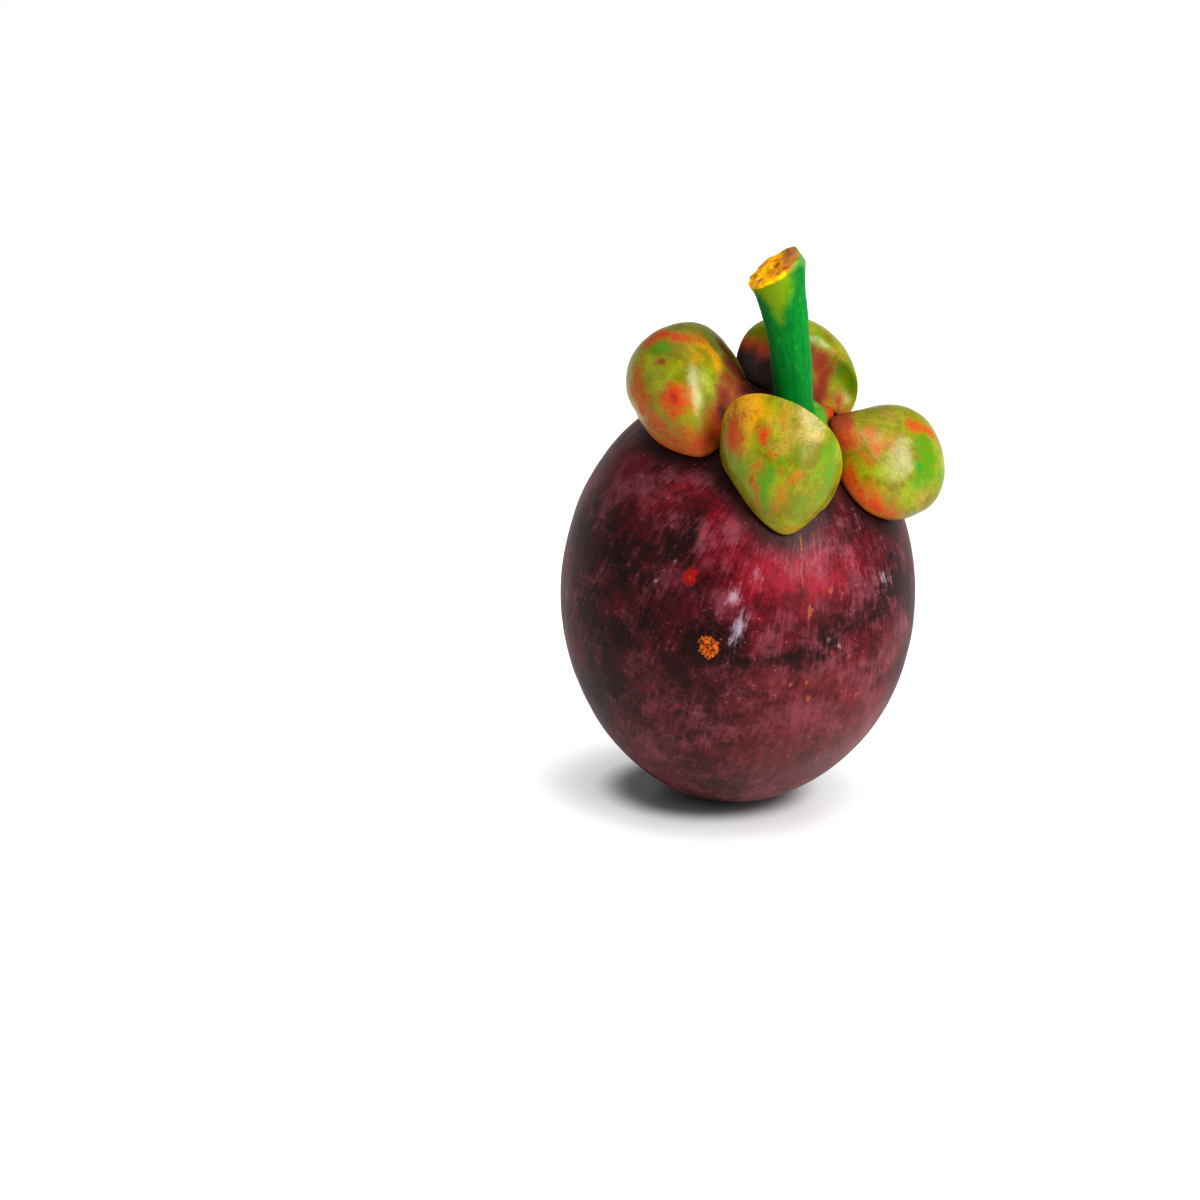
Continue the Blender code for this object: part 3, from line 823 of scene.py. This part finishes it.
def make_stem(finish):
    turn = np.linspace(0, 2 * pi, STEM_SEGMENTS, endpoint=False)
    across = np.linspace(0, 1, CUT_ROWS + 1)[1:-1] * CUT_REACH
    cut = [stem_ring(1.0, share, turn) for share in across]
    shaft = [stem_ring(at, 1.0, turn) for at in np.linspace(1, 0, STEM_ROWS)]
    rows = np.array(cut + shaft + receptacle_rows(turn))
    under = to_world(np.array((0.0, 0.0, STEM_END + RECEPTACLE_OUTLINE[-1][1] * RECEPTACLE_HEIGHT)))
    piece = make_piece("stalk", *loft(rows, stem_centre(1.0), under), finish, "stem", "stem")
    points = with_poles(rows, stem_centre(1.0), under)
    flesh = store_cut(piece, turn, np.concatenate([across, np.ones(len(rows) - len(across))]))
    past_foot = np.arange(len(rows)) - CUT_ROWS - STEM_ROWS
    disc = with_poles(np.repeat(ramp(past_foot, *DISC_ROWS)[:, None], STEM_SEGMENTS, 1), 0.0, 1.0)
    relief = relief_mm(points, STEM_RELIEF) + flesh * relief_mm(points, CUT_RELIEF)
    push_out(piece, relief + disc * relief_mm(points, DISC_RELIEF))
    angle = with_poles(np.broadcast_to(turn, rows.shape[:2]))
    height = points[:, 2] - STEM_FOOT[2]
    store_grain(piece, angle, STEM_GRAIN_RADIUS, STEM_GRAIN_ALONG * height)
    store_shaft(piece, np.degrees(angle), height / MM)
    reach = np.linalg.norm((points - under)[:, :2], axis=1)
    shaded = SHADED_BASE - SHADED_SWING * np.cos(angle - radians(SHADED_AWAY_DEG))
    store(piece, "disc", disc)
    store(piece, "joint", ramp(reach, *JOINT_REACH) * disc)
    store(piece, "shaded", np.clip(shaded, 0, 1) * disc)


# ---- rosette

def rosette_steps():
    """Rings from the rosette's outer face round its rim to its inner face: (share of its width, lift)."""
    flat_rows, rim_rows = ROSETTE_ROWS
    bends = [pi * step / (rim_rows + 1) for step in range(1, rim_rows + 1)]
    outer = [(share, 1.0) for share in np.linspace(0, 1, flat_rows + 1)[1:]]
    rim = [(1 + ROSETTE_RIM_BULGE * sin(bend), 0.5 + 0.5 * cos(bend)) for bend in bends]
    inner = [(share, 0.0) for share in np.linspace(1, 0, flat_rows + 1)[:-1]]
    return outer + rim + inner


def rosette_ring(share, lift, turn):
    """Ring of the rosette at a share of its lobed outline, lifted off the rind's blossom end."""
    notch = np.abs(np.cos(ROSETTE_LOBES * turn / 2)) ** ROSETTE_NOTCH_POWER
    polar = pi - ROSETTE_RADIUS * (1 - ROSETTE_NOTCH * notch) * share / RADIUS
    crown = ROSETTE_CROWN * ROSETTE_THICKNESS * (1 - min(share, 1.0) ** 2) * lift
    distance = rind_distance(polar) + GAP + ROSETTE_THICKNESS * lift * (1 - ROSETTE_CROWN) + crown
    flat = distance * np.sin(polar)
    return to_world(np.stack([flat * np.cos(turn), flat * np.sin(turn), distance * np.cos(polar)], -1))


def off_blossom_end(height):
    """Point of the fruit's axis, a height off the rind's blossom end."""
    return to_world(np.array((0.0, 0.0, -rind_distance(pi) - height)))


def make_rosette(finish):
    turn = -np.linspace(0, 2 * pi, ROSETTE_SEGMENTS, endpoint=False)
    rows = np.array([rosette_ring(share, lift, turn) for share, lift in rosette_steps()])
    poles = off_blossom_end(GAP + ROSETTE_THICKNESS), off_blossom_end(GAP)
    piece = make_piece("rosette", *loft(rows, *poles), finish, "stigma_rosette", "rosette")
    push_out(piece, relief_mm(with_poles(rows, *poles), ROSETTE_RELIEF))


# ---- materials

# Colours as sRGB from 0 to 255
# Some of the rind's tones are painted light: the shadow along the sepals, the white floor's reflection low
# down, and the sheen in the veil over bright parts
RIND_TONES = dict(
    dark=(36, 7, 10), maroon=(92, 14, 26), crimson=(146, 30, 50), bloom_and_sheen=(150, 92, 104),
    sepal_shadow=(26, 7, 9), floor_wash_dark=(44, 14, 17), floor_wash=(124, 50, 54), floor_reflection=(124, 92, 88),
    dot=(170, 54, 40), pale=(190, 130, 122), red=(164, 18, 18), red_core=(196, 74, 34),
    crust_dark=(104, 44, 10), crust=(200, 108, 22), tan=(164, 92, 56), scuff=(184, 172, 186),
)
# Among the sepals' tones, the near black one is painted shade
SEPAL_TONES = dict(
    olive=(124, 118, 2), yellow_green=(146, 158, 4), gold=(206, 158, 0), green=(90, 144, 4),
    deep_green=(34, 146, 44), tan=(190, 150, 84), amber=(176, 108, 2), rust=(190, 66, 0),
    deep_rust=(140, 28, 4), speckle=(140, 70, 8), edge=(170, 120, 26), brown=(140, 58, 6),
    maroon=(84, 22, 8), recess_shade=(28, 8, 8), inside=(120, 84, 40),
)
STEM_TONES = dict(
    green=(0, 114, 44), light_green=(0, 140, 52), left=(0, 116, 50), foot=(0, 122, 52),
    sunny=(124, 150, 12), lip=(196, 168, 12), crest_skin=(128, 164, 84), fleck=(140, 180, 60),
    disc=(110, 166, 58), joint=(176, 70, 18), shaded=(70, 26, 12), flesh=(240, 162, 2),
    light_flesh=(253, 208, 20), pit=(176, 64, 6), crest=(166, 110, 66),
)
ROSETTE_TONES = dict(dark=(44, 26, 20), brown=(110, 74, 48))
WHITE = (1.0, 1.0, 1.0, 1.0)


def srgb(*levels):
    """Linear colour of an sRGB one from 0 to 255."""
    shares = [level / 255 for level in levels]
    return (*(s / 12.92 if s <= 0.04045 else ((s + 0.055) / 1.055) ** 2.4 for s in shares), 1.0)


class Nodes:
    """The nodes of a material or of the world, with a short call for each kind that is used here."""

    def __init__(self, tree):
        self.tree = tree

    def node(self, kind, inputs, **settings):
        made = self.tree.nodes.new("ShaderNode" + kind)
        for name, value in settings.items():
            setattr(made, name, value)
        for key, value in inputs.items():
            self.plug(value, made.inputs[key])
        return made

    def plug(self, value, socket):
        if isinstance(value, bpy.types.NodeSocket):
            self.tree.links.new(value, socket)
        else:
            socket.default_value = value

    def ease(self, value, low, high, first=0.0, last=1.0):
        """A smooth step from the first result to the last as the value goes from low to high."""
        inputs = {"Value": value, "From Min": low, "From Max": high, "To Min": first, "To Max": last}
        return self.node("MapRange", inputs, interpolation_type="SMOOTHSTEP").outputs["Result"]


class Paint(Nodes):
    """A material, with its colours by name."""

    def __init__(self, name, tones, **settings):
        self.material = bpy.data.materials.new(name)
        self.material.use_nodes = True
        super().__init__(self.material.node_tree)
        self.tones = tones
        self.finish(**settings)

    def finish(self, **inputs):
        shader = self.tree.nodes["Principled BSDF"]
        for name, value in inputs.items():
            self.plug(value, shader.inputs[name.replace("_", " ")])
        return self.material

    def place(self):
        return self.node("TexCoord", {}).outputs["Object"]

    def stored(self, name, output="Fac"):
        return self.node("Attribute", {}, attribute_name=name).outputs[output]

    def noise(self, place, size, detail, roughness=0.6, twist=0.0):
        inputs = {"Vector": place, "Scale": 1 / size, "Detail": detail}
        inputs |= {"Roughness": roughness, "Distortion": twist}
        return self.node("TexNoise", inputs).outputs["Fac"]

    def cells(self, place, size):
        return self.node("TexVoronoi", {"Vector": place, "Scale": 1 / size}).outputs["Distance"]

    def maths(self, operation, first, second):
        return self.node("Math", {0: first, 1: second}, operation=operation).outputs[0]

    def plus(self, first, second):
        return self.maths("ADD", first, second)

    def times(self, first, second):
        return self.maths("MULTIPLY", first, second)

    def vector(self, operation, *inputs):
        return self.node("VectorMath", dict(enumerate(inputs)), operation=operation)

    def total(self, *parts):
        """Sum of values, each given with its weight."""
        total = self.times(*parts[0])
        for value, weight in parts[1:]:
            total = self.plus(total, self.times(value, weight))
        return total

    def ragged(self, *noises):
        """Sum of noises, each given with its weight, around zero."""
        return self.plus(self.total(*noises), -0.5 * sum(weight for _, weight in noises))

    def frayed(self, name, ragged, weight=1.0):
        """What is stored under a name, with a ragged edge."""
        return self.plus(self.stored(name), self.times(ragged, weight))

    def mix(self, share, first, second):
        """The second colour over the first, each a socket or the name of a tone."""
        first, second = (srgb(*self.tones[c]) if isinstance(c, str) else c for c in (first, second))
        return self.node("Mix", {0: share, 6: first, 7: second}, data_type="RGBA").outputs[2]

    def coat(self, under, value, span, colour, share=1.0):
        """A colour over what is under it, more and more as the value crosses the span."""
        return self.mix(self.times(self.ease(value, *span), share), under, colour)

    def coats(self, colour, *layers):
        """Coats over a colour, one after the other."""
        for layer in layers:
            colour = self.coat(colour, *layer)
        return colour

    def bump(self, height, depth):
        return self.node("Bump", {"Height": height, "Distance": depth, "Strength": 1.0}).outputs["Normal"]


def rind_paint():
    skin = Paint("rind_skin", RIND_TONES, Specular_IOR_Level=0.22)
    place, grain = skin.place(), skin.stored("grain", "Vector")
    broad = skin.noise(place, 0.011, 3, 0.6, 0.3)
    mottle = skin.noise(place, 0.0034, 6, 0.75, 0.4)
    streak = skin.noise(grain, 0.0021, 4, 0.7, 0.3)
    thread = skin.noise(grain, 0.0007, 3, 0.7)
    fine = skin.noise(place, 0.0006, 3, 0.7)
    level = skin.total((broad, 0.8), (mottle, 0.9), (streak, 0.25), (thread, 0.35), (fine, 0.35))
    level = skin.plus(level, skin.total((skin.stored("crimson"), 0.26), (skin.stored("shade"), -0.3)))
    colour = rind_ground(skin, place, level, mottle, thread)
    crust = skin.ease(skin.frayed("scar", skin.ragged((fine, 0.63))), 0.36, 0.5)
    colour = rind_marks(skin, place, colour, crust, mottle, thread, fine)
    rough = skin.plus(skin.total((mottle, 0.2), (crust, 0.25)), 0.34)
    normal = skin.bump(skin.total((streak, 0.4), (fine, 0.5)), 0.00012)
    return skin.finish(Base_Color=colour, Roughness=rough, Normal=normal)


def rind_ground(skin, place, level, mottle, thread):
    """The rind's colours: dark to crimson by level, the floor's painted reflection low down, a veil of waxy
    bloom and painted sheen where it is bright, and the sepals' painted shadow.
    """
    colour = skin.mix(skin.ease(level, 1.05, 1.42), "dark", "maroon")
    colour = skin.coat(colour, level, (1.34, 1.75), "crimson")
    # Painted reflection of the white floor, low down
    floor_wash = skin.mix(skin.ease(level, 0.95, 1.7), "floor_wash_dark", "floor_wash")
    floor_wash = skin.mix(skin.times(skin.stored("floor_reflection"), 0.36), floor_wash, "floor_reflection")
    uneven = skin.ragged((mottle, 1.0))
    colour = skin.coat(colour, skin.frayed("low", uneven, 0.8), (0.2, 0.8), floor_wash, 0.85)
    # A veil of waxy bloom and painted sheen over the bright, crimson parts
    bloom_and_sheen = skin.total((skin.noise(place, 0.006, 4, 0.7), 1.0), (thread, 0.3), (mottle, 0.3))
    bloom_and_sheen = skin.times(skin.ease(bloom_and_sheen, 0.72, 1.0), skin.ease(level, 1.05, 1.4))
    bloom_and_sheen = skin.times(bloom_and_sheen, skin.plus(skin.times(skin.stored("crimson"), 0.32), 0.32))
    colour = skin.mix(bloom_and_sheen, colour, "bloom_and_sheen")
    # Painted shadow along the sepals' rims
    return skin.coat(colour, skin.frayed("sepal_shadow", uneven, 0.5), (0.1, 0.95), "sepal_shadow", 0.8)


def rind_marks(skin, place, colour, crust, mottle, thread, fine):
    """Red and pale dots, then the red spots, the crusts, the tan lines and the pale scuffs."""
    dots = skin.ease(skin.total((skin.cells(place, 0.0034), 1.0), (fine, 0.14)), 0.24, 0.13)
    dots = skin.times(dots, skin.ease(skin.noise(place, 0.006, 2), 0.5, 0.62))
    colour = skin.mix(skin.times(dots, 0.55), colour, "dot")
    pale = skin.times(skin.ease(skin.cells(place, 0.0013), 0.19, 0.09), skin.ease(mottle, 0.46, 0.62))
    colour = skin.mix(skin.times(pale, 0.35), colour, "pale")
    spot = skin.frayed("red_spot", skin.ragged((fine, 0.9)))
    colour = skin.coat(colour, spot, (0.25, 0.75), "red", 0.85)
    colour = skin.coat(colour, spot, (0.9, 1.1), "red_core")
    colour = skin.mix(crust, colour, skin.mix(skin.ease(fine, 0.4, 0.6), "crust_dark", "crust"))
    line = skin.frayed("tan", skin.ragged((thread, 1.2), (fine, 1.2)))
    colour = skin.coat(colour, line, (0.45, 0.75), "tan", 0.7)
    scuffed = skin.frayed("scuff", skin.ragged((thread, 1.8), (mottle, 1.8)))
    return skin.coat(colour, scuffed, (0.3, 1.2), "scuff", 0.75)


def sepal_paint():
    skin = Paint("sepal_skin", SEPAL_TONES, Specular_IOR_Level=0.48)
    place, grain = skin.place(), skin.stored("grain", "Vector")
    broad = skin.noise(place, 0.0055, 4, 0.6, 0.4)
    mottle = skin.noise(place, 0.0017, 5, 0.75, 0.2)
    streak = skin.noise(grain, 0.0009, 4, 0.75)
    pores = skin.noise(place, 0.0005, 3, 0.7)
    ragged = skin.ragged((mottle, 1.0), (streak, 0.8), (pores, 0.7))
    tone = skin.total((broad, 0.5), (mottle, 0.25), (streak, 0.25))
    greenness = skin.frayed("green", ragged, 0.6)
    warm = skin.plus(skin.maths("MAXIMUM", skin.stored("rust"), skin.stored("rim_rust")), ragged)
    brown = skin.frayed("brown", ragged, 0.4)
    speckle = skin.total((streak, 0.5), (pores, 0.7))
    colour = skin.mix(skin.ease(tone, 0.42, 0.6), "olive", "yellow_green")
    colour = skin.coats(
        colour, (skin.frayed("gold", ragged, 0.6), (0.1, 0.9), "gold"),
        (greenness, (0.1, 0.9), "green"), (greenness, (0.95, 1.5), "deep_green"),
        (skin.frayed("pale", ragged), (0.2, 1.1), "tan", 0.6),
        (warm, (0.0, 0.7), "amber"), (warm, (0.45, 1.15), "rust"), (warm, (1.0, 1.7), "deep_rust"),
        (speckle, (0.62, 0.78), "speckle", 0.5),
    )
    colour = skin.mix(skin.times(skin.stored("edge"), 0.2), colour, "edge")
    # The sepals' own brown, going maroon and near black where strongest: painted shade at the necks and
    # recess
    colour = skin.coats(
        colour, (brown, (0.1, 0.7), "brown"), (brown, (0.6, 1.2), "maroon"), (brown, (1.1, 1.6), "recess_shade"),
        (skin.stored("inside"), (0.6, 1.0), "inside"),
    )
    matt = skin.maths("MAXIMUM", skin.ease(brown, 0.0, 0.6), skin.times(skin.ease(warm, 0.2, 1.0), 0.6))
    rough = skin.plus(skin.total((mottle, 0.16), (matt, 0.4)), 0.22)
    normal = skin.bump(skin.total((streak, 0.5), (pores, 0.5)), 0.00006)
    return skin.finish(Base_Color=colour, Roughness=rough, Normal=normal)


def stem_paint():
    skin = Paint("stem_skin", STEM_TONES, Specular_IOR_Level=0.12)
    place, grain = skin.place(), skin.stored("grain", "Vector")
    streak = skin.noise(grain, 0.0007, 4, 0.7)
    mottle = skin.noise(place, 0.0014, 5, 0.7, 0.3)
    fine = skin.noise(place, 0.0005, 3, 0.7)
    uneven = skin.ragged((mottle, 1.0))
    colour = skin.mix(skin.ease(skin.plus(streak, mottle), 0.7, 1.35), "green", "light_green")
    # The darker left side: partly the stem's own colour, partly painted shade away from the light
    colour = skin.mix(skin.times(skin.stored("left"), 0.7), colour, "left")
    colour = skin.mix(skin.times(skin.stored("foot"), 0.7), colour, "foot")
    colour = skin.coats(
        colour, (skin.frayed("sunny", uneven, 0.5), (0.1, 0.9), "sunny"),
        (skin.frayed("lip", uneven, 0.8), (0.1, 1.0), "lip"),
        (skin.stored("crest"), (0.4, 1.0), "crest_skin", 0.5),
        (skin.noise(place, 0.0009, 2), (0.6, 0.75), "fleck", 0.2),
    )
    disc = skin.mix(skin.ease(skin.frayed("joint", uneven, 1.6), 0.1, 0.7), "disc", "joint")
    disc = skin.coat(disc, skin.stored("shaded"), (0.2, 0.8), "shaded")
    colour = skin.coat(colour, skin.stored("disc"), (0.2, 0.8), disc)
    flesh = skin.mix(skin.ease(mottle, 0.42, 0.6), "flesh", "light_flesh")
    flesh = skin.coats(
        flesh, (skin.noise(place, 0.0016, 3, 0.6), (0.54, 0.66), "pit", 0.8),
        (skin.stored("crest"), (0.15, 0.8), "crest", 0.8),
    )
    torn = skin.frayed("cut", skin.ragged((fine, 0.8), (mottle, 0.64)))
    colour = skin.coat(colour, torn, (0.25, 0.65), flesh)
    rough = skin.plus(skin.times(mottle, 0.2), 0.3)
    normal = skin.bump(skin.total((streak, 0.6), (fine, 0.3)), 0.00008)
    return skin.finish(Base_Color=colour, Roughness=rough, Normal=normal)


def rosette_paint():
    skin = Paint("rosette_skin", ROSETTE_TONES, Specular_IOR_Level=0.3)
    mottle = skin.noise(skin.place(), 0.0012, 5, 0.7, 0.3)
    fine = skin.noise(skin.place(), 0.0004, 3, 0.7)
    colour = skin.mix(skin.ease(mottle, 0.4, 0.62), "dark", "brown")
    normal = skin.bump(skin.plus(mottle, fine), 0.0002)
    return skin.finish(Base_Color=colour, Roughness=skin.plus(skin.times(fine, 0.3), 0.55), Normal=normal)


def floor_paint():
    """Grey, with a painted white glow outside an oval round the fruit, so that the oval is a painted
    shadow.
    """
    grey = (FLOOR_GREY, FLOOR_GREY, FLOOR_GREY, 1.0)
    floor = Paint("white_floor", {}, Specular_IOR_Level=0.4, Roughness=0.28, Base_Color=grey)
    place = floor.vector("ADD", floor.place(), GLOW_SHIFT).outputs[0]
    place = floor.vector("MULTIPLY", place, GLOW_SCALE).outputs[0]
    reach = floor.vector("LENGTH", place).outputs["Value"]
    glow = floor.total(*((floor.ease(reach, *span), strength) for span, strength in GLOW_STEPS))
    return floor.finish(Emission_Color=WHITE, Emission_Strength=glow)


# ---- setting

def make_floor():
    half = FLOOR_HALF_WIDTH
    corners = [(-half, -half, 0), (half, -half, 0), (half, half, 0), (-half, half, 0)]
    floor = make_surface("floor", corners, [(0, 1, 2, 3)], floor_paint())


def make_world():
    """Bright behind the fruit and dim on the near side, as before a white backdrop, and mild overhead."""
    world = bpy.data.worlds.new("studio")
    bpy.context.scene.world = world
    world.use_nodes = True
    sky = Nodes(world.node_tree)
    towards = sky.node("SeparateXYZ", {0: sky.node("TexCoord", {}).outputs["Generated"]}).outputs
    around = sky.ease(towards["Y"], *FAR_SPAN, NEAR_SIDE, FAR_SIDE)
    above = sky.ease(towards["Z"], *OVERHEAD_SPAN)
    background = sky.tree.nodes["Background"].inputs
    sky.plug(sky.node("Mix", {0: above, 2: around, 3: OVERHEAD}).outputs[0], background["Strength"])
    sky.plug(WHITE, background["Color"])


def make_softbox(name, place, width, height, power):
    """Flat light that faces the fruit."""
    lamp = bpy.data.lights.new(name, "AREA")
    lamp.shape = "RECTANGLE"
    lamp.size, lamp.size_y = width, height
    lamp.energy = power
    light = add_object(name, lamp)
    light.location = place
    light.rotation_euler = (Vector(place) - Vector(MIDDLE)).to_track_quat("Z", "Y").to_euler()


def make_camera():
    tilt = radians(CAMERA_ELEVATION_DEG)
    back = Vector((0.0, -cos(tilt), sin(tilt)))
    up = Vector((0.0, sin(tilt), cos(tilt)))
    lens = bpy.data.cameras.new("camera")
    lens.lens = CAMERA_LENS
    lens.clip_start = 0.01
    camera = add_object("camera", lens)
    camera.location = Vector(MIDDLE) + back * CAMERA_DISTANCE - up * CAMERA_BELOW_MIDDLE
    camera.location.x -= CAMERA_LEFT_OF_FRUIT
    camera.rotation_euler = (radians(90) - tilt, 0.0, 0.0)
    bpy.context.scene.camera = camera


def main():
    make_camera()
    make_floor()
    make_world()
    for name, box in SOFTBOXES.items():
        make_softbox(name, *box)
    view = bpy.context.scene.view_settings
    view.view_transform = "Standard"
    view.gamma = PRINT_GAMMA
    make_rind()
    skin = sepal_paint()
    for name in SEPALS:
        make_sepal(name, skin)
    make_stem(stem_paint())
    make_rosette(rosette_paint())


main()
